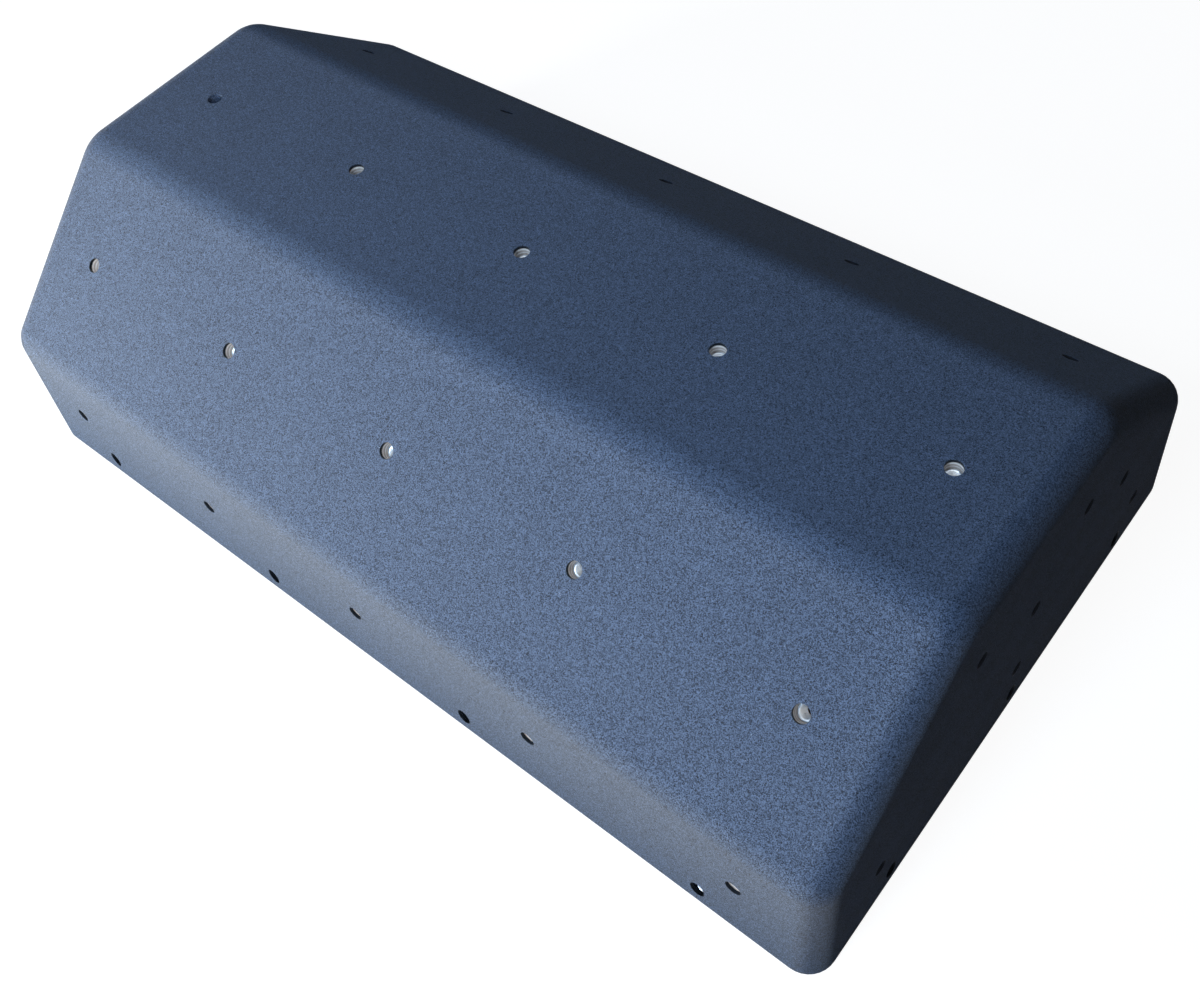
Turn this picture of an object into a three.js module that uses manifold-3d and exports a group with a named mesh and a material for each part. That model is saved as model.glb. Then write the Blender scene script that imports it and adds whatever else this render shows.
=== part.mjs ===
// Climbing volume: a long hollow block that is screwed to a climbing wall and takes bolt-on holds.
// Seven plywood boards make an open-backed box, one hard sand-textured resin skin covers it, and a
// threaded nut sits behind each bolt hole. Lengths are in millimetres and angles in degrees. The back
// edge lies on Z = 0, +Z points away from the wall, and +X runs along the length.
import * as THREE from 'three';
import { ConvexGeometry } from 'three/addons/geometries/ConvexGeometry.js';
import { mergeVertices } from 'three/addons/utils/BufferGeometryUtils.js';
import Module from 'manifold-3d';

const wasm = await Module();
wasm.setup();

// Outer form, measured where the flat faces would meet if nothing were rounded
const baseLength = 800;
const baseWidth = 470;
const topWidth = 174;
const height = 227;
const bendHeight = 115;
const sideDraft = 4.7;
const endDraft = 0.6;

// Rounding of the two pairs of long bends, and of all the edges round the end walls
const sideBendRadius = 26;
const topBendRadius = 38;
const endEdgeRadius = 20;

// Walls
const skinThickness = 2.5;
const boardThickness = 18;
const glueGap = 0.3;
const skinSetBack = 0.5;

// Bolt holes with a nut behind each: five to a row on the long faces, each row a little nearer the right
const nutHoleRadius = 5.8;
const nutsInRow = 5;
const nutEndMargin = 67;
const nutRowShift = 4;
const slopeRowShare = 0.505;
const sideRowShare = 0.52;

// Bolt holes on the end walls, as shares of half the base width and of the height
const pairedEndNutShares = [
  [0.272, 0.705],
  [-0.272, 0.705],
  [0.04, 0.505],
  [0.702, 0.229],
  [0, 0.229],
  [-0.702, 0.229],
];
const extraEndNutShares = [0.536, 0.525];

// Slanting screw holes near the back edge, which lead through the board's edge into the wall
const screwHeight = 17;
const screwSlant = 49;
const screwsInSide = 4;
const screwEndMargin = 91;
const endScrewShares = [-0.64, 0, 0.64];
const screwHeadRadius = 5.5;
const screwHeadDepth = 13;
const screwShankRadius = 2.75;

// Threaded nut: a barrel with a broad flange, pressed in from the hollow side
const nutBarrelRadius = 5.5;
const nutBarrelLength = 12.5;
const nutBoreRadius = 4.3;
const nutMouthRadius = 5;
const nutLeadIn = 0.8;
const nutFlangeRadius = 12.5;
const nutFlangeThickness = 1.5;

// Washer that the screw's head pulls on
const washerRadius = 5.1;
const washerBoreRadius = 3.1;
const washerThickness = 2;
const washerDish = 0.6;

// Facets of the rounded edges and of the round holes
const bendSteps = 3;
const edgeSteps = 4;
const holeSides = 12;
const metalSides = 10;
const overrun = 10;

const toRadians = THREE.MathUtils.degToRad;
const ends = [
  { name: 'right', sign: 1 },
  { name: 'left', sign: -1 },
];
const sides = [
  { name: 'near', sign: -1 },
  { name: 'far', sign: 1 },
];

// Half section of the form: where its flat faces would meet, and which way they face
const halfLength = baseLength / 2;
const halfBase = baseWidth / 2;
const halfTop = topWidth / 2;
const halfBend = halfBase - bendHeight * Math.tan(toRadians(sideDraft));
const slopeAngle = Math.atan2(height - bendHeight, halfBend - halfTop);
const slopeLength = Math.hypot(height - bendHeight, halfBend - halfTop);
const wallLength = Math.hypot(bendHeight, halfBase - halfBend);
const boardFront = skinThickness + glueGap;
const boardBack = boardFront + boardThickness;

const sideNormal = (side) =>
  new THREE.Vector3(0, side.sign * Math.cos(toRadians(sideDraft)), Math.sin(toRadians(sideDraft)));
const slopeNormal = (side) =>
  new THREE.Vector3(0, side.sign * Math.sin(slopeAngle), Math.cos(slopeAngle));
const topNormal = new THREE.Vector3(0, 0, 1);
const endNormal = (end) =>
  new THREE.Vector3(end.sign * Math.cos(toRadians(endDraft)), 0, Math.sin(toRadians(endDraft)));

// A flat outer face: a point on it, its outward normal, and its two directions, along and up
function face(origin, normal, along) {
  return { origin, normal, along, up: new THREE.Vector3().crossVectors(normal, along) };
}
const lengthwise = new THREE.Vector3(1, 0, 0);
const crosswise = new THREE.Vector3(0, 1, 0);
const topFace = face(new THREE.Vector3(0, 0, height), topNormal, lengthwise);
const sideFace = (side) =>
  face(new THREE.Vector3(0, side.sign * halfBase, 0), sideNormal(side), lengthwise);
const slopeFace = (side) =>
  face(new THREE.Vector3(0, side.sign * halfBend, bendHeight), slopeNormal(side), lengthwise);
const endFace = (end) =>
  face(new THREE.Vector3(end.sign * halfLength, 0, 0), endNormal(end), crosswise);

// The point that lies at a place along and up a face, and at a depth below it; up is away from the back
function pointOn(surface, along, up, depth) {
  const upwards = surface.up.z < 0 ? -up : up;
  return surface.origin
    .clone()
    .addScaledVector(surface.along, along)
    .addScaledVector(surface.up, upwards)
    .addScaledVector(surface.normal, -depth);
}

// A closed three.js geometry as a solid for cutting, and a solid as a three.js geometry
function solidOf(geometry) {
  const bare = geometry.clone();
  bare.deleteAttribute('normal');
  bare.deleteAttribute('uv');
  const merged = mergeVertices(bare);
  return new wasm.Manifold(
    new wasm.Mesh({
      numProp: 3,
      vertProperties: new Float32Array(merged.attributes.position.array),
      triVerts: new Uint32Array(merged.index.array),
    }),
  );
}
function geometryOf(solid) {
  const mesh = solid.getMesh();
  const geometry = new THREE.BufferGeometry();
  geometry.setAttribute('position', new THREE.BufferAttribute(mesh.vertProperties, mesh.numProp));
  geometry.setIndex(new THREE.BufferAttribute(mesh.triVerts, 1));
  geometry.computeVertexNormals();
  return geometry;
}

// Centre line of a ball that rolls inside a bend, as the bend's normals turn from one face to the next
function bendCentres(vertex, firstNormal, secondNormal, radius) {
  const bisector = firstNormal.clone().add(secondNormal);
  const toCentre = -radius / (1 + firstNormal.dot(secondNormal));
  const centre = vertex.clone().addScaledVector(bisector, toCentre);
  return Array.from({ length: bendSteps + 1 }, (_, step) => {
    const normal = firstNormal.clone().lerp(secondNormal, step / bendSteps).normalize();
    return { centre: centre.clone().addScaledVector(normal, radius - endEdgeRadius), normal };
  });
}

// Points of the quarter turn from a section normal to an end wall's normal, round a centre whose ball
// of the end edge's radius touches that end wall
function edgeArc(centre, normal, end, inset) {
  const wall = endNormal(end);
  const toWall = halfLength - endEdgeRadius / Math.cos(toRadians(endDraft));
  const x = end.sign * (toWall - centre.z * Math.tan(toRadians(endDraft)));
  const turn = normal.angleTo(wall);
  return Array.from({ length: edgeSteps + 1 }, (_, step) => {
    const angle = (turn * step) / edgeSteps;
    const direction = normal
      .clone()
      .multiplyScalar(Math.sin(turn - angle) / Math.sin(turn))
      .addScaledVector(wall, Math.sin(angle) / Math.sin(turn));
    return new THREE.Vector3(x, centre.y, centre.z).addScaledVector(direction, endEdgeRadius - inset);
  });
}

// The rounded outer form, or the same form a distance inside it, running on below the back edge
function roundedForm(inset) {
  const points = [];
  for (const side of sides) {
    const wall = sideNormal(side);
    const slope = slopeNormal(side);
    const sideBend = new THREE.Vector3(0, side.sign * halfBend, bendHeight);
    const topBend = new THREE.Vector3(0, side.sign * halfTop, height);
    const bends = [
      ...bendCentres(sideBend, wall, slope, sideBendRadius),
      ...bendCentres(topBend, slope, topNormal, topBendRadius),
    ];
    const foot = pointOn(sideFace(side), 0, -overrun, endEdgeRadius);
    for (const end of ends) {
      for (const { centre, normal } of [{ centre: foot, normal: wall }, ...bends]) {
        points.push(...edgeArc(centre, normal, end, inset));
      }
    }
  }
  return solidOf(new ConvexGeometry(points));
}

// A block that covers all the space on the outer side of a plane, for cutting
function beyond(normal, point) {
  const size = 2 * (baseLength + baseWidth + height);
  const block = new THREE.BoxGeometry(size, size, size);
  block.translate(0, 0, size / 2);
  block.applyQuaternion(new THREE.Quaternion().setFromUnitVectors(topNormal, normal.clone().normalize()));
  block.translate(point.x, point.y, point.z);
  return solidOf(block);
}

// A round cutter or core along an axis, from a start point for a length
function rod(start, axis, radius, length) {
  const cylinder = new THREE.CylinderGeometry(radius, radius, length, holeSides);
  cylinder.translate(0, length / 2, 0);
  cylinder.applyQuaternion(new THREE.Quaternion().setFromUnitVectors(crosswise, axis));
  cylinder.translate(start.x, start.y, start.z);
  return solidOf(cylinder);
}

// Places of the bolt holes in a row along a long face, and of the screw holes along a side wall
function rowPlaces(count, margin) {
  const pitch = (baseLength - 2 * margin) / (count - 1);
  return Array.from({ length: count }, (_, index) => (index - (count - 1) / 2) * pitch);
}
const rowOf = (up) =>
  rowPlaces(nutsInRow, nutEndMargin).map((along) => ({ along: along + nutRowShift, up }));
const sideScrews = rowPlaces(screwsInSide, screwEndMargin);
const endScrews = endScrewShares.map((share) => share * halfBase);
const placeOnEnd = ([across, up]) => ({ along: across * halfBase, up: up * height });

// Every wall: its outer face, its board's neighbours, and its bolt and screw holes
const walls = [
  { name: 'top', surface: topFace, nuts: rowOf(0), screws: [] },
  ...sides.map((side) => ({
    name: `${side.name}_slope`,
    surface: slopeFace(side),
    nuts: rowOf(slopeLength * slopeRowShare),
    screws: [],
  })),
  ...sides.map((side) => ({
    name: `${side.name}_side`,
    surface: sideFace(side),
    nuts: rowOf(wallLength * sideRowShare),
    screws: sideScrews,
  })),
  ...ends.map((end) => ({
    name: `${end.name}_end`,
    surface: endFace(end),
    nuts: (end.sign > 0 ? [...pairedEndNutShares, extraEndNutShares] : pairedEndNutShares).map(placeOnEnd),
    screws: endScrews,
  })),
];

// The way that a screw goes in: into the wall, and down towards the back edge
function screwAxis(surface) {
  const inwards = new THREE.Vector3(-surface.normal.x, -surface.normal.y, 0).normalize();
  return inwards
    .multiplyScalar(Math.cos(toRadians(screwSlant)))
    .addScaledVector(topNormal, -Math.sin(toRadians(screwSlant)));
}
const screwMouth = (surface, along) =>
  pointOn(surface, along, screwHeight / Math.hypot(surface.normal.x, surface.normal.y), 0);

// All the holes of one wall, as one cutter
function holesIn(wall) {
  const { surface } = wall;
  const inwards = surface.normal.clone().negate();
  const boltHoles = wall.nuts.map(({ along, up }) =>
    rod(pointOn(surface, along, up, -overrun), inwards, nutHoleRadius, boardBack + 2 * overrun),
  );
  const screwHoles = wall.screws.flatMap((along) => {
    const axis = screwAxis(surface);
    const outside = screwMouth(surface, along).addScaledVector(axis, -2 * overrun);
    const reach = 2 * overrun + screwHeight / Math.sin(toRadians(screwSlant)) + overrun;
    return [
      rod(outside, axis, screwHeadRadius, 2 * overrun + screwHeadDepth),
      rod(outside, axis, screwShankRadius, reach),
    ];
  });
  return wasm.Manifold.union([...boltHoles, ...screwHoles]);
}

// Between two neighbouring boards: the plane that halves their corner, moved off it by half the glue gap
function mitre(solid, own, other, corner) {
  const across = other.normal.clone().sub(own.normal).normalize();
  return solid.subtract(beyond(across, corner.clone().addScaledVector(across, -glueGap / 2)));
}

const form = roundedForm(0);
const boardForm = roundedForm(boardFront);
const belowBack = beyond(topNormal.clone().negate(), new THREE.Vector3(0, 0, 0));
const carcass = boardForm.subtract(belowBack);

// One board: the slice of the rounded carcass that lies within its thickness of the wall's face
function boardSolid(wall) {
  const { surface } = wall;
  const innerPlane = pointOn(surface, 0, 0, boardBack);
  let solid = carcass.subtract(beyond(surface.normal.clone().negate(), innerPlane));
  if (!wall.name.endsWith('_end')) {
    for (const end of ends) {
      const stop = pointOn(endFace(end), 0, 0, boardBack + glueGap);
      solid = solid.subtract(beyond(endNormal(end), stop));
    }
  }
  for (const side of sides) {
    const sideBend = new THREE.Vector3(0, side.sign * halfBend, bendHeight);
    const topBend = new THREE.Vector3(0, side.sign * halfTop, height);
    if (wall.name === 'top') solid = mitre(solid, topFace, slopeFace(side), topBend);
    if (wall.name === `${side.name}_slope`) {
      solid = mitre(solid, surface, topFace, topBend);
      solid = mitre(solid, surface, sideFace(side), sideBend);
    }
    if (wall.name === `${side.name}_side`) solid = mitre(solid, surface, slopeFace(side), sideBend);
  }
  return solid.subtract(holesIn(wall));
}

// The skin: the rounded form with a slightly smaller one taken out, open at the back
function skinSolid() {
  const edge = new THREE.Vector3(0, 0, skinSetBack);
  let solid = form.subtract(roundedForm(skinThickness)).subtract(beyond(topNormal.clone().negate(), edge));
  for (const wall of walls) solid = solid.subtract(holesIn(wall));
  return solid;
}

// Threaded nut, its barrel along +Y from the flange's seat at the origin
function nutGeometry() {
  const profile = [
    [nutBoreRadius, -nutFlangeThickness],
    [nutFlangeRadius, -nutFlangeThickness],
    [nutFlangeRadius, 0],
    [nutBarrelRadius, 0],
    [nutBarrelRadius, nutBarrelLength - nutLeadIn],
    [nutMouthRadius, nutBarrelLength],
    [nutBoreRadius, nutBarrelLength - nutLeadIn],
    [nutBoreRadius, -nutFlangeThickness],
  ].map(([radius, along]) => new THREE.Vector2(radius, along));
  return new THREE.LatheGeometry(profile, metalSides);
}

// Dished washer, its axis along +Y, lying on the bottom of the screw's counterbore
function washerGeometry() {
  const profile = [
    [washerBoreRadius, 0],
    [washerRadius, 0],
    [washerRadius, washerThickness],
    [washerBoreRadius, washerThickness - washerDish],
    [washerBoreRadius, 0],
  ].map(([radius, along]) => new THREE.Vector2(radius, along));
  return new THREE.LatheGeometry(profile, metalSides);
}

const skinMaterial = new THREE.MeshStandardMaterial({ color: '#2b3440', roughness: 0.85, metalness: 0 });
const plywoodMaterial = new THREE.MeshStandardMaterial({ color: '#c9a878', roughness: 0.7, metalness: 0 });
const zincMaterial = new THREE.MeshStandardMaterial({ color: '#c9ccd0', roughness: 0.35, metalness: 1 });

const volume = new THREE.Group();
function addPiece(name, geometry, material) {
  const piece = new THREE.Mesh(geometry, material);
  piece.name = name;
  volume.add(piece);
  return piece;
}

addPiece('resin_skin', geometryOf(skinSolid()), skinMaterial);
for (const wall of walls) {
  const { surface } = wall;
  addPiece(`${wall.name}_board`, geometryOf(boardSolid(wall)), plywoodMaterial);
  wall.nuts.forEach(({ along, up }, index) => {
    const nut = addPiece(`${wall.name}_nut_${index + 1}`, nutGeometry(), zincMaterial);
    nut.position.copy(pointOn(surface, along, up, boardBack + glueGap));
    nut.quaternion.setFromUnitVectors(crosswise, surface.normal);
  });
  wall.screws.forEach((along, index) => {
    const axis = screwAxis(surface);
    const washer = addPiece(`${wall.name}_washer_${index + 1}`, washerGeometry(), zincMaterial);
    washer.position.copy(screwMouth(surface, along).addScaledVector(axis, screwHeadDepth - glueGap));
    washer.quaternion.setFromUnitVectors(crosswise, axis.clone().negate());
  });
}

export default volume;
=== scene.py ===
# Climbing volume: a plywood box with an open back, coated in sand-textured resin, with a threaded nut
# behind each bolt hole and a washer at the bottom of each slanting screw hole. The back edge lies on
# Z = 0, +Z points away from the climbing wall and +X runs along the length, in metres.
import math
import random

import bmesh
import bpy
from mathutils import Matrix, Vector


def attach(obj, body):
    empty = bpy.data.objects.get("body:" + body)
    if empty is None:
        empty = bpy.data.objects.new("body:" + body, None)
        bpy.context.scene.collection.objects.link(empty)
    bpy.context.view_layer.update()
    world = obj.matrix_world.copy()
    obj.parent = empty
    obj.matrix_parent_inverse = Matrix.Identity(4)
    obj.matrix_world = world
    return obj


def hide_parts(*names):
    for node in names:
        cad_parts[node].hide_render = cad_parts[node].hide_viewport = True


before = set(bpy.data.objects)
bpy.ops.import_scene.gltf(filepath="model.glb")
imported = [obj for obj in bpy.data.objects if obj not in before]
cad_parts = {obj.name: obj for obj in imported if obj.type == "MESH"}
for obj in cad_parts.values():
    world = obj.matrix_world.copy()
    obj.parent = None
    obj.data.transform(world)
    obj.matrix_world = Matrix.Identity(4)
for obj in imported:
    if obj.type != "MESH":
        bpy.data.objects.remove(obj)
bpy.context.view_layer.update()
MM = 0.001
UP = Vector((0, 0, 1))


# Camera
# A short zoom lens above the right end of the near side, looking down along the volume, rolled a
# little, as the photograph was taken. Its shift is what is left of the photograph's framing.
CAMERA_PLACE = (0.5221, -0.4215, 0.8442)
CAMERA_TURN = (36.747, 7.45, 39.117)
CAMERA_LENS = 39.078
CAMERA_SENSOR = 36.0
CAMERA_SHIFT = (-0.0012, -0.0281)

bpy.ops.object.select_all(action="DESELECT")
bpy.ops.object.camera_add(
    location=CAMERA_PLACE, rotation=[math.radians(angle) for angle in CAMERA_TURN]
)
camera = bpy.context.object
camera.data.sensor_width = CAMERA_SENSOR
camera.data.lens = CAMERA_LENS
camera.data.shift_x, camera.data.shift_y = CAMERA_SHIFT
bpy.context.scene.camera = camera


# Room
# A plain pale floor with a dark sheet inside the hollow, which is painted shadow where the volume keeps the
# light out, and six soft lamps: one on the near left, two in front of the near side, a cool one overhead, a
# warm panel that lies on the floor, and one under the floor that lights only the open back. What the lens
# and polished metal see is white.
FLOOR_SIZE = 12.0
FLOOR_DROP = 0.5 * MM
FLOOR_WHITE = "#ffffff"
FLOOR_BOUNCE = "#6d7178"
FLOOR_GLOW = 0.94
FLOOR_SHADE = 0.25
HOLLOW_FLOOR_SIZE = (740 * MM, 410 * MM)
HOLLOW_FLOOR_DROP = 0.4 * MM
HOLLOW_PAINTED_SHADOW = "#141416"
MIDDLE_OF_VOLUME = Vector((0, 0, 0.1))
STRAIGHT_UP = Vector((-0.5, 0, 100))
LAMPS = [
    ("left_lamp", (-0.75, -0.95, 0.4), (0.35, 0.35), 12.4, "#fafffa", MIDDLE_OF_VOLUME),
    ("high_front_lamp", (0.2, -1.0, 1.2), (0.4, 0.4), 7.2, "#d3e9ff", MIDDLE_OF_VOLUME),
    ("low_front_lamp", (0.3, -1.0, 0.7), (0.2, 0.2), 4.0, "#cbe6ff", MIDDLE_OF_VOLUME),
    ("overhead_lamp", (-0.9, -0.3, 1.3), (0.8, 0.8), 4.0, "#9dcdff", MIDDLE_OF_VOLUME),
    ("floor_panel", (-0.5, -0.875, 0.004), (1.8, 0.85), 32.4, "#ffe2ad", STRAIGHT_UP),
    ("under_floor_lamp", (0, -0.1, -0.8), (0.6, 0.3), 7.0, "#ffffff", MIDDLE_OF_VOLUME),
]


def linear(hex_colour):
    """An sRGB hex colour as the linear RGBA that shaders and lamps take."""
    parts = [int(hex_colour[i : i + 2], 16) / 255 for i in (1, 3, 5)]
    return [c / 12.92 if c <= 0.04045 else ((c + 0.055) / 1.055) ** 2.4 for c in parts] + [1.0]


def add_node(tree, kind, inputs=None, **settings):
    """Adds a shader node. inputs gives each socket, by name or number, a value or another node's output."""
    node = tree.nodes.new(kind)
    for name, value in settings.items():
        setattr(node, name, value)
    for name, value in (inputs or {}).items():
        if isinstance(value, bpy.types.NodeSocket):
            tree.links.new(value, node.inputs[name])
        else:
            node.inputs[name].default_value = value
    return node


def seen_rays(tree):
    """1 for the rays of the lens, of polished metal and of glass, 0 for the rays that carry soft light."""
    path = add_node(tree, "ShaderNodeLightPath").outputs
    mirrored = add_node(
        tree, "ShaderNodeMath", {0: path["Is Camera Ray"], 1: path["Is Glossy Ray"]}, operation="MAXIMUM"
    )
    return add_node(
        tree, "ShaderNodeMath", {0: mirrored.outputs[0], 1: path["Is Transmission Ray"]}, operation="MAXIMUM"
    ).outputs[0]


def lay_floor(name, size, drop):
    """A staged flat sheet that lies just under the volume's back edge, and its empty material."""
    bpy.ops.object.select_all(action="DESELECT")
    bpy.ops.mesh.primitive_plane_add(size=1, location=(0, 0, -drop))
    sheet = bpy.context.object
    sheet.name = name
    sheet.scale = (*size, 1)
    bpy.ops.object.transform_apply(location=True, rotation=True, scale=True)
    finish = bpy.data.materials.new(f"{name}_paper")
    finish.use_nodes = True
    finish.node_tree.nodes.clear()
    sheet.data.materials.append(finish)
    return sheet, finish.node_tree


def show_from_above(tree, surface):
    """Ends a floor's material: the surface as seen from above, and nothing at all from below."""
    side = add_node(tree, "ShaderNodeNewGeometry").outputs["Backfacing"]
    clear = add_node(tree, "ShaderNodeBsdfTransparent")
    both = add_node(tree, "ShaderNodeMixShader", {0: side, 1: surface, 2: clear.outputs[0]})
    add_node(tree, "ShaderNodeOutputMaterial", {"Surface": both.outputs[0]})


world = bpy.data.worlds.new("pale_room")
world.use_nodes = True
room = world.node_tree
room.nodes.clear()
backdrop = add_node(room, "ShaderNodeBackground", {"Color": linear(FLOOR_WHITE), "Strength": 1.0})
shown = add_node(room, "ShaderNodeMixShader", {0: seen_rays(room), 2: backdrop.outputs[0]})
add_node(room, "ShaderNodeOutputWorld", {"Surface": shown.outputs[0]})
bpy.context.scene.world = world

floor, paper = lay_floor("pale_floor", (FLOOR_SIZE, FLOOR_SIZE), FLOOR_DROP)
matt = add_node(paper, "ShaderNodeBsdfDiffuse", {"Color": [FLOOR_SHADE] * 3 + [1.0]})
glow = add_node(paper, "ShaderNodeEmission", {"Color": linear(FLOOR_WHITE), "Strength": FLOOR_GLOW})
white = add_node(paper, "ShaderNodeAddShader", {0: matt.outputs[0], 1: glow.outputs[0]})
bounce = add_node(paper, "ShaderNodeBsdfDiffuse", {"Color": linear(FLOOR_BOUNCE)})
front = add_node(
    paper, "ShaderNodeMixShader", {0: seen_rays(paper), 1: bounce.outputs[0], 2: white.outputs[0]}
)
show_from_above(paper, front.outputs[0])

# Painted shadow: a dark sheet inside the hollow, where the floor's glow would otherwise show though the
# volume keeps all light out.
hollow_shadow_sheet, paper = lay_floor("hollow_shadow_sheet", HOLLOW_FLOOR_SIZE, HOLLOW_FLOOR_DROP)
painted_shadow = add_node(paper, "ShaderNodeBsdfDiffuse", {"Color": linear(HOLLOW_PAINTED_SHADOW)})
show_from_above(paper, painted_shadow.outputs[0])

for lamp_name, place_of_lamp, size, power, colour, target in LAMPS:
    aim = (target - Vector(place_of_lamp)).to_track_quat("-Z", "Y").to_euler()
    bpy.ops.object.light_add(type="AREA", location=place_of_lamp, rotation=aim)
    lamp = bpy.context.object
    lamp.name = lamp_name
    lamp.data.shape = "RECTANGLE"
    lamp.data.size, lamp.data.size_y = size
    lamp.data.energy = power
    lamp.data.color = linear(colour)[:3]
    lamp.visible_camera = False

floors = bpy.data.collections.new("floors_that_cast_no_shadow_upwards")
floors.objects.link(floor)
floors.objects.link(hollow_shadow_sheet)
for member in floors.collection_objects:
    member.light_linking.link_state = "EXCLUDE"
bpy.data.objects["under_floor_lamp"].light_linking.blocker_collection = floors

bpy.context.scene.view_settings.view_transform = "Standard"


# Resin skin
# Two-part resin with sand in it, sprayed over the whole box and trimmed just above the back edge. It
# is one hard shell, 2.5 mm thick, rounded at the long bends and round the ends, and drilled with the box.
BASE_LENGTH = 800 * MM
BASE_WIDTH = 470 * MM
TOP_WIDTH = 174 * MM
HEIGHT = 227 * MM
BEND_HEIGHT = 115 * MM
SIDE_DRAFT = math.radians(4.7)
END_DRAFT = math.radians(0.6)
SIDE_BEND_RADIUS = 26 * MM
TOP_BEND_RADIUS = 38 * MM
END_EDGE_RADIUS = 20 * MM
SKIN_THICKNESS = 2.5 * MM
SKIN_SET_BACK = 0.5 * MM
BOARD_THICKNESS = 18 * MM
GLUE_GAP = 0.3 * MM
NUT_HOLE_RADIUS = 5.8 * MM
NUTS_IN_ROW = 5
NUT_END_MARGIN = 67 * MM
NUT_ROW_SHIFT = 4 * MM
SLOPE_ROW_SHARE = 0.505
SIDE_ROW_SHARE = 0.52
PAIRED_END_NUT_SHARES = [
    (0.272, 0.705),
    (-0.272, 0.705),
    (0.04, 0.505),
    (0.702, 0.229),
    (0, 0.229),
    (-0.702, 0.229),
]
EXTRA_END_NUT_SHARES = (0.536, 0.525)
SCREW_HEIGHT = 17 * MM
SCREW_SLANT = math.radians(49)
SCREWS_IN_SIDE = 4
SCREW_END_MARGIN = 91 * MM
END_SCREW_SHARES = (-0.64, 0, 0.64)
SCREW_HEAD_RADIUS = 5.5 * MM
SCREW_HEAD_DEPTH = 13 * MM
SCREW_SHANK_RADIUS = 2.75 * MM
MOUTH_EASE = 0.3 * MM
MOUTH_SEGMENTS = 2
COATED_BOLT_HOLES = {"top": 1}
BEND_SEGMENTS = 8
EDGE_SEGMENTS = 8
HOLE_SIDES = 48
OVERRUN = 10 * MM
TOUCH = 0.02 * MM
SMOOTH_ANGLE = math.radians(35)

half_length, half_base, half_top = BASE_LENGTH / 2, BASE_WIDTH / 2, TOP_WIDTH / 2
half_bend = half_base - BEND_HEIGHT * math.tan(SIDE_DRAFT)
slope_angle = math.atan2(HEIGHT - BEND_HEIGHT, half_bend - half_top)
slope_length = math.hypot(HEIGHT - BEND_HEIGHT, half_bend - half_top)
wall_length = math.hypot(BEND_HEIGHT, half_base - half_bend)
board_front = SKIN_THICKNESS + GLUE_GAP
board_back = board_front + BOARD_THICKNESS

ALONG_LENGTH, ACROSS = Vector((1, 0, 0)), Vector((0, 1, 0))
side_normal = {s: Vector((0, s * math.cos(SIDE_DRAFT), math.sin(SIDE_DRAFT))) for s in (-1, 1)}
slope_normal = {s: Vector((0, s * math.sin(slope_angle), math.cos(slope_angle))) for s in (-1, 1)}
end_normal = {s: Vector((s * math.cos(END_DRAFT), 0, math.sin(END_DRAFT))) for s in (-1, 1)}


def row_places(count, margin, shift=0.0):
    """Evenly spaced places along the length, from one end margin to the other."""
    pitch = (BASE_LENGTH - 2 * margin) / (count - 1)
    return [(i - (count - 1) / 2) * pitch + shift for i in range(count)]


def make_wall(name, corner, normal, along, nuts, screws=()):
    """One outer face: a point on it, its outward normal, its directions, and its bolt and screw holes."""
    upwards = normal.cross(along)
    if upwards.z < 0:
        upwards.negate()
    return {
        "name": name,
        "corner": corner,
        "normal": normal,
        "along": along,
        "up": upwards,
        "nuts": nuts,
        "screws": screws,
    }


nut_row = row_places(NUTS_IN_ROW, NUT_END_MARGIN, NUT_ROW_SHIFT)
screw_row = row_places(SCREWS_IN_SIDE, SCREW_END_MARGIN)
end_screws = [share * half_base for share in END_SCREW_SHARES]
walls = [make_wall("top", Vector((0, 0, HEIGHT)), UP, ALONG_LENGTH, [(x, 0) for x in nut_row])]
for name, s in (("near", -1), ("far", 1)):
    bend = Vector((0, s * half_bend, BEND_HEIGHT))
    foot = Vector((0, s * half_base, 0))
    up_slope = [(x, slope_length * SLOPE_ROW_SHARE) for x in nut_row]
    up_wall = [(x, wall_length * SIDE_ROW_SHARE) for x in nut_row]
    walls.append(make_wall(f"{name}_slope", bend, slope_normal[s], ALONG_LENGTH, up_slope))
    walls.append(make_wall(f"{name}_side", foot, side_normal[s], ALONG_LENGTH, up_wall, screw_row))
for name, s in (("right", 1), ("left", -1)):
    shares = PAIRED_END_NUT_SHARES + ([EXTRA_END_NUT_SHARES] if s > 0 else [])
    places = [(across * half_base, rise * HEIGHT) for across, rise in shares]
    foot = Vector((s * half_length, 0, 0))
    walls.append(make_wall(f"{name}_end", foot, end_normal[s], ACROSS, places, end_screws))


def on_wall(wall, along, rise, depth=0.0):
    """The point at a place along and up a wall, and at a depth below its outer face."""
    return wall["corner"] + wall["along"] * along + wall["up"] * rise - wall["normal"] * depth


def screw_axis(wall):
    """The way that a screw goes in: into the box, and down to the back edge."""
    inwards = Vector((-wall["normal"].x, -wall["normal"].y, 0)).normalized()
    return inwards * math.cos(SCREW_SLANT) - UP * math.sin(SCREW_SLANT)


def screw_mouth(wall, along):
    """Where a screw hole's axis meets the outer face."""
    return on_wall(wall, along, SCREW_HEIGHT / math.hypot(wall["normal"].x, wall["normal"].y))


def edit(piece):
    """Makes a piece the only selected one and opens it in edit mode, with nothing selected in it."""
    bpy.ops.object.select_all(action="DESELECT")
    piece.select_set(True)
    bpy.context.view_layer.objects.active = piece
    bpy.ops.object.mode_set(mode="EDIT")
    bpy.ops.mesh.select_all(action="DESELECT")


def done(piece):
    """Leaves edit mode."""
    bpy.ops.object.mode_set(mode="OBJECT")
    return piece


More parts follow.
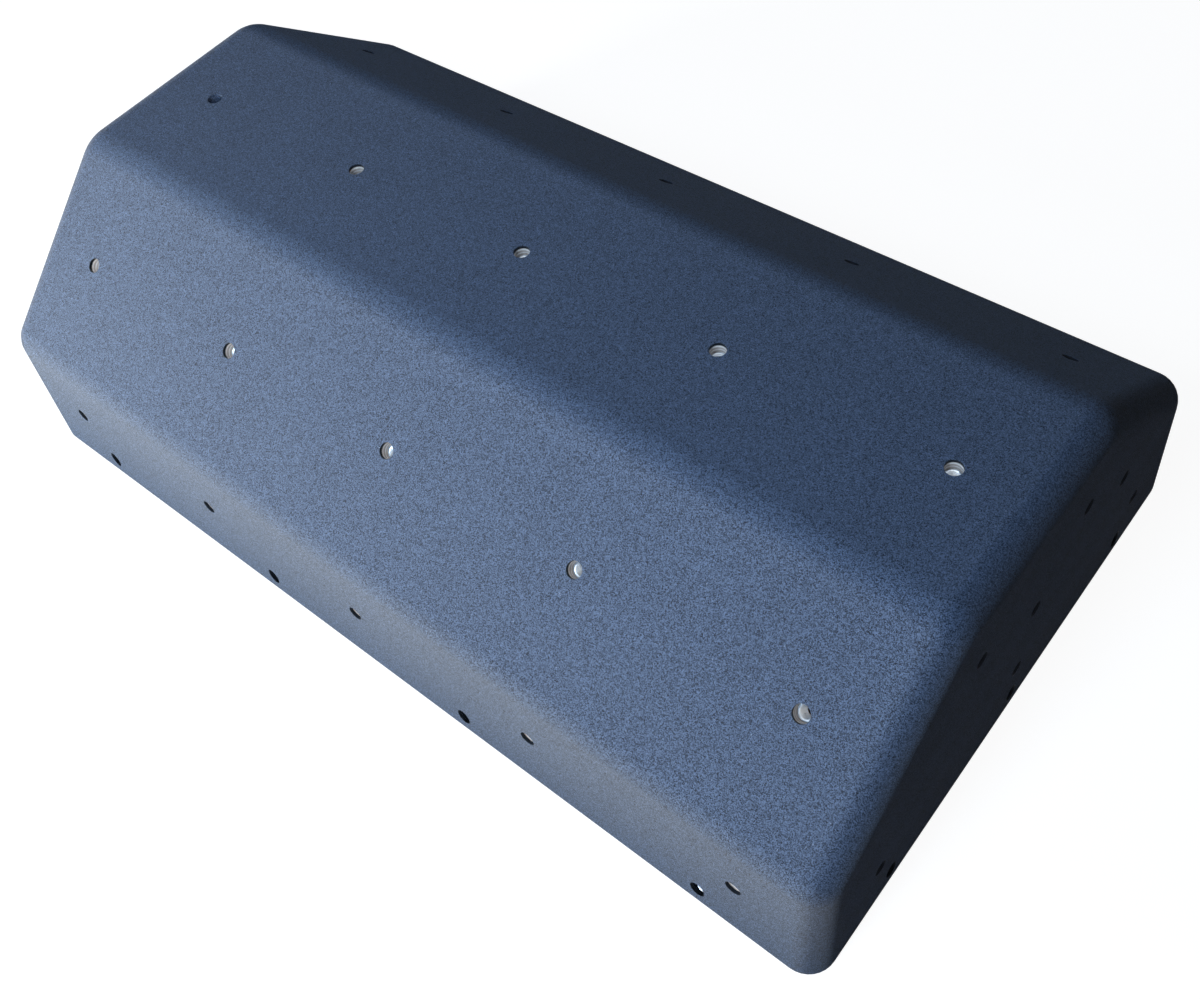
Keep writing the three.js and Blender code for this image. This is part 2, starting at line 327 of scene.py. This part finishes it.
def pick_edges(piece, wanted):
    """In edit mode, selects just the edges for which wanted(edge) is true."""
    bpy.ops.mesh.select_mode(type="EDGE")
    bpy.ops.mesh.select_all(action="DESELECT")
    mesh = bmesh.from_edit_mesh(piece.data)
    for edge in mesh.edges:
        if wanted(edge):
            edge.select_set(True)
    bmesh.update_edit_mesh(piece.data)


def both_ends(test):
    """A test of an edge that asks a test of both its points."""
    return lambda edge: all(test(vertex.co) for vertex in edge.verts)


def cut_off(point, outwards, close=True):
    """In edit mode, cuts the whole piece at a plane, drops what lies outwards of it and closes the cut."""
    bpy.ops.mesh.select_all(action="SELECT")
    bpy.ops.mesh.bisect(plane_co=point, plane_no=outwards, use_fill=close, clear_outer=True)


def round_over(radius, turn, segments):
    """In edit mode, rounds the selected edges between faces whose normals turn by this angle.
    The profile is fuller than a quarter circle's where the turn is less than a right angle."""
    bpy.ops.mesh.bevel(
        offset_type="OFFSET",
        offset=radius * math.tan(turn / 2),
        segments=segments,
        profile=(1 - 0.5 / (1 + math.cos(turn / 2))) ** 2,
        affect="EDGES",
        clamp_overlap=False,
    )


def bend_point(s, corner_y, corner_z, first, second, inset):
    """Where two flat faces meet, once both have moved in by the inset."""
    corner = Vector((0, s * corner_y, corner_z))
    return corner - (first + second) * inset / (1 + first.dot(second))


def rounded_block(name, inset):
    """The volume's rounded form, or the same form a distance inside it, running on below the back edge."""
    top = HEIGHT - inset
    bpy.ops.object.select_all(action="DESELECT")
    bpy.ops.mesh.primitive_cube_add(
        size=1,
        location=(0, 0, (top - OVERRUN) / 2),
        scale=(BASE_LENGTH + OVERRUN, BASE_WIDTH + OVERRUN, top + OVERRUN),
    )
    block = bpy.context.object
    block.name = name
    bpy.ops.object.transform_apply(location=True, rotation=True, scale=True)
    edit(block)
    for wall in walls[1:]:
        cut_off(on_wall(wall, 0, 0, inset), wall["normal"])
    for first, second, corner_y, corner_z, radius in (
        (side_normal, slope_normal, half_bend, BEND_HEIGHT, SIDE_BEND_RADIUS),
        (slope_normal, {-1: UP, 1: UP}, half_top, HEIGHT, TOP_BEND_RADIUS),
    ):
        for s in (-1, 1):
            bend = bend_point(s, corner_y, corner_z, first[s], second[s], inset)
            pick_edges(block, both_ends(lambda co: (co - bend).yz.length < TOUCH))
            round_over(radius - inset, first[s].angle(second[s]), BEND_SEGMENTS)
    for s in (-1, 1):
        end = Vector((s * half_length, 0, 0)) - end_normal[s] * inset
        on_end = lambda co: abs((co - end).dot(end_normal[s])) < TOUCH
        above = lambda edge: any(vertex.co.z > TOUCH - OVERRUN for vertex in edge.verts)
        pick_edges(block, lambda edge: both_ends(on_end)(edge) and above(edge))
        round_over(END_EDGE_RADIUS - inset, math.pi / 2, EDGE_SEGMENTS)
    return done(block)


def join(pieces):
    """Makes several objects one, under the first one's name."""
    bpy.ops.object.select_all(action="DESELECT")
    for piece in pieces:
        piece.select_set(True)
    bpy.context.view_layer.objects.active = pieces[0]
    bpy.ops.object.join()
    return pieces[0]


def turned(name, profile, sides, close="loop"):
    """A round piece about +Z: a ring that is drawn along a profile of (radius, height) points. Its ends
    are joined into a loop, capped, or left open."""
    radius, height = profile[0]
    bpy.ops.object.select_all(action="DESELECT")
    bpy.ops.mesh.primitive_circle_add(vertices=sides, radius=radius, location=(0, 0, height))
    piece = bpy.context.object
    piece.name = name
    bpy.ops.object.transform_apply(location=True, rotation=True, scale=True)
    edit(piece)
    bpy.ops.mesh.select_all(action="SELECT")
    for next_radius, next_height in profile[1:]:
        bpy.ops.mesh.extrude_edges_move(TRANSFORM_OT_translate={"value": (0, 0, next_height - height)})
        widen = next_radius / radius
        bpy.ops.transform.resize(value=(widen, widen, 1), center_override=(0, 0, next_height))
        radius, height = next_radius, next_height
    bpy.ops.mesh.select_all(action="SELECT")
    if close == "loop":
        bpy.ops.mesh.remove_doubles(threshold=TOUCH / 10)
    if close == "caps":
        bpy.ops.mesh.fill_holes(sides=0)
    bpy.ops.mesh.select_all(action="SELECT")
    bpy.ops.mesh.normals_make_consistent(inside=False)
    return done(piece)


def place(piece, point, direction, turn=0.0):
    """Moves a piece's mesh so that its origin lies at a point and its +Z points in a direction."""
    lean = direction.to_track_quat("Z", "Y").to_matrix().to_4x4()
    piece.data.transform(Matrix.Translation(point) @ lean @ Matrix.Rotation(turn, 4, "Z"))
    piece.data.update()
    return piece


def apply_modifier(piece, modifier):
    """Applies one modifier of a piece."""
    bpy.ops.object.select_all(action="DESELECT")
    piece.select_set(True)
    bpy.context.view_layer.objects.active = piece
    bpy.ops.object.modifier_apply(modifier=modifier.name)


def combine(piece, other, operation):
    """Takes another shape out of a piece, or makes it one with the piece."""
    change = piece.modifiers.new("combine", "BOOLEAN")
    change.operation, change.solver, change.object = operation, "EXACT", other
    apply_modifier(piece, change)
    bpy.data.objects.remove(other)


def bolt_holes(wall):
    """Each bolt hole of a wall: where its axis meets the outer face, the way in, and its radius."""
    return [(on_wall(wall, along, rise), -wall["normal"], NUT_HOLE_RADIUS) for along, rise in wall["nuts"]]


def coated_holes(wall):
    """The bolt holes of a wall, counted from the left, that the sandy coat ran into."""
    return bolt_holes(wall)[: COATED_BOLT_HOLES.get(wall["name"], 0)]


def screw_holes(wall):
    """Each screw hole of a wall, in the same terms."""
    return [(screw_mouth(wall, along), screw_axis(wall), SCREW_HEAD_RADIUS) for along in wall["screws"]]


def off_axis(hole, co):
    """How far a point lies from a hole's axis."""
    point, axis, _ = hole
    offset = co - point
    return (offset - axis * offset.dot(axis)).length


def drill(piece, wall):
    """Takes all the holes of one wall out of a piece."""
    bolt_profile = [(NUT_HOLE_RADIUS, -OVERRUN), (NUT_HOLE_RADIUS, board_back + OVERRUN)]
    reach = SCREW_HEIGHT / math.sin(SCREW_SLANT) + OVERRUN
    screw_profile = [
        (SCREW_HEAD_RADIUS, -2 * OVERRUN),
        (SCREW_HEAD_RADIUS, SCREW_HEAD_DEPTH),
        (SCREW_SHANK_RADIUS, SCREW_HEAD_DEPTH),
        (SCREW_SHANK_RADIUS, reach),
    ]
    bits = []
    for profile, holes in ((bolt_profile, bolt_holes(wall)), (screw_profile, screw_holes(wall))):
        for point, axis, _ in holes:
            bit = turned("drill_bit", profile, HOLE_SIDES, close="caps")
            bits.append(place(bit, point, axis))
    combine(piece, join(bits), "DIFFERENCE")


def ease_mouths(piece, wall, depth, amount):
    """Rounds the edges of a wall's holes where they meet the face at a depth below the outer one."""
    level = on_wall(wall, 0, 0, depth)
    holes = bolt_holes(wall) + screw_holes(wall)

    def on_mouth(co):
        on_face = abs((co - level).dot(wall["normal"])) < TOUCH
        return on_face and any(abs(off_axis(hole, co) - hole[2]) < TOUCH for hole in holes)

    pick_edges(piece, both_ends(on_mouth))
    bpy.ops.mesh.bevel(offset=amount, segments=MOUTH_SEGMENTS, affect="EDGES", clamp_overlap=True)


def line_holes(piece, holes, finish):
    """Gives the faces inside some holes of a piece a finish of their own."""
    piece.data.materials.append(finish)
    for face in piece.data.polygons:
        corners = [piece.data.vertices[index].co for index in face.vertices]
        for hole in holes:
            if all(off_axis(hole, co) < hole[2] + TOUCH for co in corners):
                face.material_index = len(piece.data.materials) - 1


def finish_surface(piece):
    """Smooth shading that keeps the flat faces flat and the cut edges sharp."""
    bpy.ops.object.select_all(action="DESELECT")
    piece.select_set(True)
    bpy.context.view_layer.objects.active = piece
    bpy.ops.object.shade_smooth_by_angle(angle=SMOOTH_ANGLE)
    weights = piece.modifiers.new("flat_faces", "WEIGHTED_NORMAL")
    weights.keep_sharp = True
    apply_modifier(piece, weights)


outer = rounded_block("sand_textured_skin", 0)
inner = rounded_block("skin_inside", SKIN_THICKNESS)
edit(inner)
bpy.ops.mesh.select_all(action="SELECT")
bpy.ops.mesh.flip_normals()
done(inner)
skin = join([outer, inner])
edit(skin)
cut_off((0, 0, SKIN_SET_BACK), -UP, close=False)
pick_edges(skin, lambda edge: edge.is_boundary)
bpy.ops.mesh.bridge_edge_loops()
bpy.ops.mesh.select_all(action="SELECT")
bpy.ops.mesh.normals_make_consistent(inside=False)
done(skin)
for wall in walls:
    drill(skin, wall)
edit(skin)
for wall in walls:
    ease_mouths(skin, wall, 0, MOUTH_EASE)
done(skin)
finish_surface(skin)

# Sand-textured resin: a two-part polyurethane coat that is sprayed with fine quartz sand in it and cures
# hard. It looks dull and speckled: the sand stands up as round grains that catch low light.
COAT = "#697c9d"
COAT_GRAIN_LIGHT = "#95a3bb"
COAT_GRAIN_DARK = "#1a202a"
COAT_ROUGHNESS = 0.85
COAT_SPECULAR = 0.03
COAT_SHEEN = 0.2
COAT_SHEEN_ROUGHNESS = 0.6
COAT_DUST = "#efe6da"
SAND_GRAIN = 0.5 * MM
SAND_HEIGHT = 0.15 * MM
SAND_RELIEF = 0.8
BARE_SAND_SHARE = 0.002
MOTTLE_WIDTH = 9 * MM
CLOUD_WIDTH = 70 * MM
DARKEST_CLOUD, LIGHTEST_CLOUD = 0.95, 1.05

coat = bpy.data.materials.new("sand_textured_resin")
coat.use_nodes = True
tree = coat.node_tree
shader = tree.nodes["Principled BSDF"]
where = add_node(tree, "ShaderNodeTexCoord").outputs["Object"]
grains = add_node(tree, "ShaderNodeTexVoronoi", {"Vector": where, "Scale": 1 / SAND_GRAIN}, feature="F1")
grain_shade = add_node(tree, "ShaderNodeSeparateColor", {"Color": grains.outputs["Color"]})
mixed = add_node(
    tree,
    "ShaderNodeMixRGB",
    {"Fac": grain_shade.outputs["Red"], "Color1": linear(COAT_GRAIN_DARK), "Color2": linear(COAT)},
)
bare_sand = add_node(
    tree,
    "ShaderNodeMapRange",
    {"Value": grain_shade.outputs["Green"], "From Min": 1 - BARE_SAND_SHARE, "From Max": 1.0},
)
speckled = add_node(
    tree,
    "ShaderNodeMixRGB",
    {"Fac": bare_sand.outputs[0], "Color1": mixed.outputs[0], "Color2": linear(COAT_GRAIN_LIGHT)},
)
mottle = add_node(
    tree, "ShaderNodeTexNoise", {"Vector": where, "Scale": 1 / MOTTLE_WIDTH, "Detail": 2.0, "Roughness": 0.5}
)
clouds = add_node(
    tree, "ShaderNodeTexNoise", {"Vector": where, "Scale": 1 / CLOUD_WIDTH, "Detail": 3.0, "Roughness": 0.6}
)
uneven = add_node(tree, "ShaderNodeMath", {0: mottle.outputs[0], 1: clouds.outputs[0]}, operation="ADD")
cloud_level = add_node(
    tree,
    "ShaderNodeMapRange",
    {
        "Value": uneven.outputs[0],
        "From Min": 0.6,
        "From Max": 1.4,
        "To Min": DARKEST_CLOUD,
        "To Max": LIGHTEST_CLOUD,
    },
)
clouded = add_node(
    tree,
    "ShaderNodeVectorMath",
    {0: speckled.outputs[0], "Scale": cloud_level.outputs[0]},
    operation="SCALE",
)
tree.links.new(clouded.outputs[0], shader.inputs["Base Color"])
hump = add_node(
    tree,
    "ShaderNodeMapRange",
    {"Value": grains.outputs["Distance"], "From Min": 0.0, "From Max": 0.8, "To Min": 1.0, "To Max": 0.0},
)
relief = add_node(
    tree, "ShaderNodeBump", {"Height": hump.outputs[0], "Distance": SAND_HEIGHT, "Strength": SAND_RELIEF}
)
tree.links.new(relief.outputs[0], shader.inputs["Normal"])
shader.inputs["Roughness"].default_value = COAT_ROUGHNESS
shader.inputs["Specular IOR Level"].default_value = COAT_SPECULAR
shader.inputs["Sheen Weight"].default_value = COAT_SHEEN
shader.inputs["Sheen Roughness"].default_value = COAT_SHEEN_ROUGHNESS
shader.inputs["Sheen Tint"].default_value = linear(COAT_DUST)
skin.data.materials.append(coat)

# Bare resin: the same resin without the sand, where a drill cuts the coat and where it ran into a hole. It
# is smoother than the sandy face, and its near-black colour is partly painted shade inside the holes.
BARE_RESIN_AND_SHADE = "#0d1118"
BARE_RESIN_WORN = "#1d2530"
BARE_RESIN_ROUGHNESS = 0.55
BARE_RESIN_SPECULAR = 0.2
RESIN_STREAK_WIDTH = 2 * MM

bare_resin_and_shade = bpy.data.materials.new("bare_resin_and_shade")
bare_resin_and_shade.use_nodes = True
tree = bare_resin_and_shade.node_tree
shader = tree.nodes["Principled BSDF"]
where = add_node(tree, "ShaderNodeTexCoord").outputs["Object"]
streaks = add_node(
    tree, "ShaderNodeTexNoise", {"Vector": where, "Scale": 1 / RESIN_STREAK_WIDTH, "Detail": 3.0}
)
resin_and_shade_colour = add_node(
    tree,
    "ShaderNodeMixRGB",
    {"Fac": streaks.outputs[0], "Color1": linear(BARE_RESIN_AND_SHADE), "Color2": linear(BARE_RESIN_WORN)},
)
tree.links.new(resin_and_shade_colour.outputs[0], shader.inputs["Base Color"])
shader.inputs["Roughness"].default_value = BARE_RESIN_ROUGHNESS
shader.inputs["Specular IOR Level"].default_value = BARE_RESIN_SPECULAR
# The walls of the uncoated bolt holes and of the screw holes get the near-black resin, which is partly
# painted shade.
shade_lined_holes = []
for wall in walls:
    shade_lined_holes += bolt_holes(wall)[len(coated_holes(wall)) :] + screw_holes(wall)
line_holes(skin, shade_lined_holes, bare_resin_and_shade)
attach(skin, "root")
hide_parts("resin_skin")


# Plywood boards
# Seven boards of 18 mm birch plywood, mitred along their long edges, glued, and rounded over outside
# before the coat goes on. Their plies show in the wall of each bolt hole and round the back edge, but bare
# resin, near black with painted shade, lines the screw holes, and the sandy coat ran into the leftmost bolt
# hole of the top.
PLY_GLUE_GAP = 0.1 * MM
PLY_COUNT = 13
COAT_TO_PLY_GAP = 0.05 * MM
ply_front = SKIN_THICKNESS + COAT_TO_PLY_GAP


def board(wall):
    """The slice of the rounded box that lies within one wall's thickness, between its mitres."""
    piece = rounded_block(f"plywood_{wall['name']}", ply_front)
    edit(piece)
    cut_off((0, 0, 0), -UP)
    cut_off(on_wall(wall, 0, 0, board_back), -wall["normal"])
    if not wall["name"].endswith("_end"):
        for s in (-1, 1):
            stop = Vector((s * half_length, 0, 0)) - end_normal[s] * (board_back + PLY_GLUE_GAP)
            cut_off(stop, end_normal[s])
    for s, side_name in ((-1, "near"), (1, "far")):
        slope_name, foot_name = f"{side_name}_slope", f"{side_name}_side"
        top_corner, bend_corner = Vector((0, s * half_top, HEIGHT)), Vector((0, s * half_bend, BEND_HEIGHT))
        for upper, upper_name, lower, lower_name, corner in (
            (UP, "top", slope_normal[s], slope_name, top_corner),
            (slope_normal[s], slope_name, side_normal[s], foot_name, bend_corner),
        ):
            mitre = (lower - upper).normalized()
            if wall["name"] == upper_name:
                cut_off(corner - mitre * PLY_GLUE_GAP / 2, mitre)
            if wall["name"] == lower_name:
                cut_off(corner + mitre * PLY_GLUE_GAP / 2, -mitre)
    done(piece)
    drill(piece, wall)
    finish_surface(piece)
    places = piece.data.attributes.new("ply_place", "FLOAT_VECTOR", "POINT")
    for vertex, stored in zip(piece.data.vertices, places.data):
        offset = vertex.co - wall["corner"]
        stored.vector = (
            offset.dot(wall["along"]),
            offset.dot(wall["up"]),
            -offset.dot(wall["normal"]) - board_front,
        )
    return piece


# Birch plywood: thin veneers glued crosswise, cut clean and sanded. The cut edges are pale birch, painted
# nearly white as painted light in the bolt holes, with end grain a little darker than long grain and a
# thin line of glue at each joint. The veneer on the face is a yellower birch.
BIRCH_LONG_GRAIN_LIGHTENED = "#fdf8f4"
BIRCH_END_GRAIN_LIGHTENED = "#d9ccc4"
BIRCH_GLUE = "#9a8476"
BIRCH_FACE = "#dcc39c"
BIRCH_ROUGHNESS = 0.62
FIBRES_PER_METRE = (40.0, 700.0, 700.0)
DARKEST_FIBRE, LIGHTEST_FIBRE = 0.86, 1.08
GLUE_LINE_START, GLUE_LINE_END = 0.05, 0.12
GLUE_LINE_SHARE = 0.8

birch = bpy.data.materials.new("sanded_birch_plywood")
birch.use_nodes = True
tree = birch.node_tree
shader = tree.nodes["Principled BSDF"]
place_on_board = add_node(tree, "ShaderNodeAttribute", attribute_name="ply_place").outputs["Vector"]
axes = add_node(tree, "ShaderNodeSeparateXYZ", {0: place_on_board}).outputs
plies = add_node(tree, "ShaderNodeMath", {0: axes["Z"], 1: PLY_COUNT / BOARD_THICKNESS}, operation="MULTIPLY")
parity = add_node(tree, "ShaderNodeMath", {0: plies.outputs[0], 1: 1.0}, operation="PINGPONG")
ply_number = add_node(tree, "ShaderNodeMath", {0: plies.outputs[0]}, operation="FLOOR")
crossed = add_node(tree, "ShaderNodeMath", {0: ply_number.outputs[0], 1: 2.0}, operation="FLOORED_MODULO")
grain_scale = add_node(
    tree, "ShaderNodeVectorMath", {0: place_on_board, 1: FIBRES_PER_METRE}, operation="MULTIPLY"
)
fibres = add_node(tree, "ShaderNodeTexNoise", {"Vector": grain_scale.outputs[0], "Scale": 1.0, "Detail": 4.0})
# Cut edges: pale birch lightened nearly to white, which is painted light for the bolt-hole walls.
lightened_cut_edge = add_node(
    tree,
    "ShaderNodeMixRGB",
    {"Fac": crossed.outputs[0], "Color1": linear(BIRCH_LONG_GRAIN_LIGHTENED), "Color2": linear(BIRCH_END_GRAIN_LIGHTENED)},
)
back_face = add_node(
    tree, "ShaderNodeMath", {0: axes["Z"], 1: BOARD_THICKNESS - TOUCH}, operation="GREATER_THAN"
)
wood = add_node(
    tree,
    "ShaderNodeMixRGB",
    {"Fac": back_face.outputs[0], "Color1": lightened_cut_edge.outputs[0], "Color2": linear(BIRCH_FACE)},
)
fibre_level = add_node(
    tree,
    "ShaderNodeMapRange",
    {
        "Value": fibres.outputs[0],
        "From Min": 0.25,
        "From Max": 0.75,
        "To Min": DARKEST_FIBRE,
        "To Max": LIGHTEST_FIBRE,
    },
)
streaked = add_node(
    tree, "ShaderNodeVectorMath", {0: wood.outputs[0], "Scale": fibre_level.outputs[0]}, operation="SCALE"
)
glue_line = add_node(
    tree,
    "ShaderNodeMapRange",
    {
        "Value": parity.outputs[0],
        "From Min": GLUE_LINE_START,
        "From Max": GLUE_LINE_END,
        "To Min": GLUE_LINE_SHARE,
        "To Max": 0.0,
    },
)
glued = add_node(
    tree,
    "ShaderNodeMixRGB",
    {"Fac": glue_line.outputs[0], "Color1": streaked.outputs[0], "Color2": linear(BIRCH_GLUE)},
)
tree.links.new(glued.outputs[0], shader.inputs["Base Color"])
shader.inputs["Roughness"].default_value = BIRCH_ROUGHNESS
for wall in walls:
    piece = board(wall)
    piece.data.materials.append(birch)
    # Screw holes take the near-black resin, which is partly painted shade; the coated bolt hole takes the
    # sandy coat.
    for holes, lining in ((screw_holes(wall), bare_resin_and_shade), (coated_holes(wall), coat)):
        if holes:
            line_holes(piece, holes, lining)
    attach(piece, "root")
    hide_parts(f"{wall['name']}_board")


# Threaded nuts
# M10 T-nuts of zinc-plated steel: a barrel drawn from a round flange, threaded inside, and hammered into
# the board from the hollow side, so that four prongs, bent up from the flange's rim, bite into the wood.
NUT_BARREL_RADIUS = 5.5 * MM
NUT_BARREL_LENGTH = 12.5 * MM
NUT_FLANGE_RADIUS = 12.5 * MM
NUT_FLANGE_THICKNESS = 1.5 * MM
BARREL_ROOT_RADIUS = 0.8 * MM
METAL_EASE = 0.3 * MM
RIM_EASE = 0.1 * MM
THREAD_PITCH = 1.5 * MM
THREAD_ROOT_RADIUS = 5 * MM
THREAD_CREST_RADIUS = 4.19 * MM
THREAD_ROOT_WIDTH = 0.1875 * MM
THREAD_CREST_WIDTH = 0.375 * MM
THREAD_STEPS = 32
PRONG_COUNT = 4
PRONG_WIDTH = 5 * MM
PRONG_TIP_WIDTH = 1.2 * MM
PRONG_HEIGHT = 6.5 * MM
PRONG_RADIUS = 9.2 * MM
METAL_SIDES = 48
nut_mouth = THREAD_ROOT_RADIUS + RIM_EASE


def wound_thread(name, low, high):
    """The inside of an M10 nut: the outline of one tooth, wound up about +Z and cut flat at two heights."""
    depth = THREAD_ROOT_RADIUS - THREAD_CREST_RADIUS
    flank = (THREAD_PITCH - THREAD_ROOT_WIDTH - THREAD_CREST_WIDTH) / 2
    tooth = [(0, THREAD_ROOT_WIDTH), (-depth, flank), (0, THREAD_CREST_WIDTH), (depth, flank)]
    bpy.ops.object.select_all(action="DESELECT")
    bpy.ops.mesh.primitive_plane_add(size=TOUCH, location=(THREAD_ROOT_RADIUS, 0, low - 2 * THREAD_PITCH))
    piece = bpy.context.object
    piece.name = name
    bpy.ops.object.transform_apply(location=True, rotation=True, scale=True)
    edit(piece)
    bpy.ops.mesh.select_mode(type="VERT")
    bpy.ops.mesh.select_all(action="SELECT")
    bpy.ops.mesh.merge(type="CENTER")
    for outwards, upwards in tooth:
        bpy.ops.mesh.extrude_vertices_move(TRANSFORM_OT_translate={"value": (outwards, 0, upwards)})
    done(piece)
    winding = piece.modifiers.new("winding", "SCREW")
    winding.axis, winding.angle, winding.screw_offset = "Z", 2 * math.pi, THREAD_PITCH
    winding.iterations = math.ceil((high - low) / THREAD_PITCH) + 3
    winding.steps = winding.render_steps = THREAD_STEPS
    apply_modifier(piece, winding)
    edit(piece)
    bpy.ops.mesh.select_all(action="SELECT")
    bpy.ops.mesh.remove_doubles(threshold=TOUCH / 10)
    cut_off((0, 0, high), UP, close=False)
    cut_off((0, 0, low), -UP, close=False)
    return done(piece)


def plate(length, width, height, end_width, inner_radius, low):
    """An upright plate that stands outside a radius on the +X side and narrows towards its top."""
    bpy.ops.object.select_all(action="DESELECT")
    bpy.ops.mesh.primitive_cube_add(
        size=1, location=(inner_radius + length / 2, 0, low + height / 2), scale=(length, width, height)
    )
    piece = bpy.context.object
    bpy.ops.object.transform_apply(location=True, rotation=True, scale=True)
    edit(piece)
    pick_edges(piece, both_ends(lambda co: co.z > low + height / 2))
    bpy.ops.transform.resize(value=(1, end_width / width, 1), center_override=(inner_radius, 0, low))
    return done(piece)


nut_profile = [
    (nut_mouth, NUT_BARREL_LENGTH - METAL_EASE),
    (nut_mouth + RIM_EASE, NUT_BARREL_LENGTH),
    (NUT_BARREL_RADIUS - RIM_EASE, NUT_BARREL_LENGTH),
    (NUT_BARREL_RADIUS, NUT_BARREL_LENGTH - RIM_EASE),
    (NUT_BARREL_RADIUS, BARREL_ROOT_RADIUS),
    (NUT_BARREL_RADIUS + BARREL_ROOT_RADIUS / 4, BARREL_ROOT_RADIUS / 4),
    (NUT_BARREL_RADIUS + BARREL_ROOT_RADIUS, 0),
    (NUT_FLANGE_RADIUS - METAL_EASE, 0),
    (NUT_FLANGE_RADIUS, -METAL_EASE),
    (NUT_FLANGE_RADIUS, METAL_EASE - NUT_FLANGE_THICKNESS),
    (NUT_FLANGE_RADIUS - METAL_EASE, -NUT_FLANGE_THICKNESS),
    (nut_mouth + BARREL_ROOT_RADIUS, -NUT_FLANGE_THICKNESS),
    (nut_mouth + METAL_EASE / 2, METAL_EASE - NUT_FLANGE_THICKNESS),
    (nut_mouth, 2 * METAL_EASE - NUT_FLANGE_THICKNESS),
]
thread_ends = (nut_profile[-1][1] + METAL_EASE, nut_profile[0][1] - METAL_EASE)
nut_pattern = join([
    turned("nut_pattern", nut_profile, METAL_SIDES, close="open"),
    wound_thread("nut_thread", *thread_ends),
])
edit(nut_pattern)
for low, high in ((-NUT_FLANGE_THICKNESS, 0), (NUT_BARREL_LENGTH / 2, NUT_BARREL_LENGTH)):
    pick_edges(nut_pattern, lambda edge: edge.is_boundary and both_ends(lambda co: low < co.z < high)(edge))
    bpy.ops.mesh.bridge_edge_loops()
bpy.ops.mesh.select_all(action="SELECT")
bpy.ops.mesh.normals_make_consistent(inside=False)
done(nut_pattern)
for number in range(PRONG_COUNT):
    quarter = Matrix.Rotation(2 * math.pi * number / PRONG_COUNT, 4, "Z")
    notch = plate(
        NUT_FLANGE_RADIUS, PRONG_WIDTH, 3 * NUT_FLANGE_THICKNESS, PRONG_WIDTH, PRONG_RADIUS,
        -2 * NUT_FLANGE_THICKNESS,
    )
    notch.data.transform(quarter)
    combine(nut_pattern, notch, "DIFFERENCE")
    prong = plate(
        NUT_FLANGE_THICKNESS, PRONG_WIDTH, PRONG_HEIGHT + NUT_FLANGE_THICKNESS / 2, PRONG_TIP_WIDTH,
        PRONG_RADIUS - NUT_FLANGE_THICKNESS - TOUCH, -NUT_FLANGE_THICKNESS / 2,
    )
    prong.data.transform(quarter)
    combine(nut_pattern, prong, "UNION")

# Bright zinc plate: a thin plated layer on cold-formed steel, passivated clear. It gives a cool, slightly
# cloudy shine.
ZINC = "#e2edf8"
PLATING_CLOUD_WIDTH = 3 * MM
BRIGHTEST_PLATING, DULLEST_PLATING = 0.26, 0.42
NUT_TURN_SEED = 7

zinc = bpy.data.materials.new("bright_zinc_plate")
zinc.use_nodes = True
tree = zinc.node_tree
shader = tree.nodes["Principled BSDF"]
shader.inputs["Base Color"].default_value = linear(ZINC)
shader.inputs["Metallic"].default_value = 1.0
where = add_node(tree, "ShaderNodeTexCoord").outputs["Object"]
plating = add_node(
    tree, "ShaderNodeTexNoise", {"Vector": where, "Scale": 1 / PLATING_CLOUD_WIDTH, "Detail": 3.0}
)
dullness = add_node(
    tree,
    "ShaderNodeMapRange",
    {
        "Value": plating.outputs[0],
        "From Min": 0.3,
        "From Max": 0.7,
        "To Min": BRIGHTEST_PLATING,
        "To Max": DULLEST_PLATING,
    },
)
tree.links.new(dullness.outputs[0], shader.inputs["Roughness"])

finish_surface(nut_pattern)
nut_pattern.data.materials.append(zinc)
turns = random.Random(NUT_TURN_SEED)
for wall in walls:
    for number, (along, rise) in enumerate(wall["nuts"], start=1):
        nut = nut_pattern.copy()
        nut.data = nut_pattern.data.copy()
        nut.name = f"t_nut_{wall['name']}_{number}"
        bpy.context.scene.collection.objects.link(nut)
        seat = on_wall(wall, along, rise, board_back + GLUE_GAP)
        place(nut, seat, wall["normal"], turns.uniform(0, math.pi))
        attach(nut, "root")
        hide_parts(f"{wall['name']}_nut_{number}")
bpy.data.objects.remove(nut_pattern)


# Screw washers
# A thick dished washer of zinc-plated steel lies on the bottom of each slanting counterbore, and the
# head of the wood screw that holds the volume to the wall pulls on it.
WASHER_RADIUS = 5.1 * MM
WASHER_BORE_RADIUS = 3.1 * MM
WASHER_THICKNESS = 2 * MM
WASHER_DISH = 0.6 * MM
washer_profile = [
    (WASHER_BORE_RADIUS, METAL_EASE),
    (WASHER_BORE_RADIUS + METAL_EASE, 0),
    (WASHER_RADIUS - METAL_EASE, 0),
    (WASHER_RADIUS, METAL_EASE),
    (WASHER_RADIUS, WASHER_THICKNESS - METAL_EASE),
    (WASHER_RADIUS - METAL_EASE, WASHER_THICKNESS),
    (WASHER_BORE_RADIUS + METAL_EASE, WASHER_THICKNESS - WASHER_DISH),
    (WASHER_BORE_RADIUS, WASHER_THICKNESS - WASHER_DISH - METAL_EASE),
    (WASHER_BORE_RADIUS, METAL_EASE),
]
washer_pattern = turned("washer_pattern", washer_profile, METAL_SIDES)
finish_surface(washer_pattern)
washer_pattern.data.materials.append(zinc)
for wall in walls:
    for number, along in enumerate(wall["screws"], start=1):
        washer = washer_pattern.copy()
        washer.data = washer_pattern.data.copy()
        washer.name = f"seat_washer_{wall['name']}_{number}"
        bpy.context.scene.collection.objects.link(washer)
        axis = screw_axis(wall)
        place(washer, screw_mouth(wall, along) + axis * (SCREW_HEAD_DEPTH - GLUE_GAP), -axis)
        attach(washer, "root")
        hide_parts(f"{wall['name']}_washer_{number}")
bpy.data.objects.remove(washer_pattern)
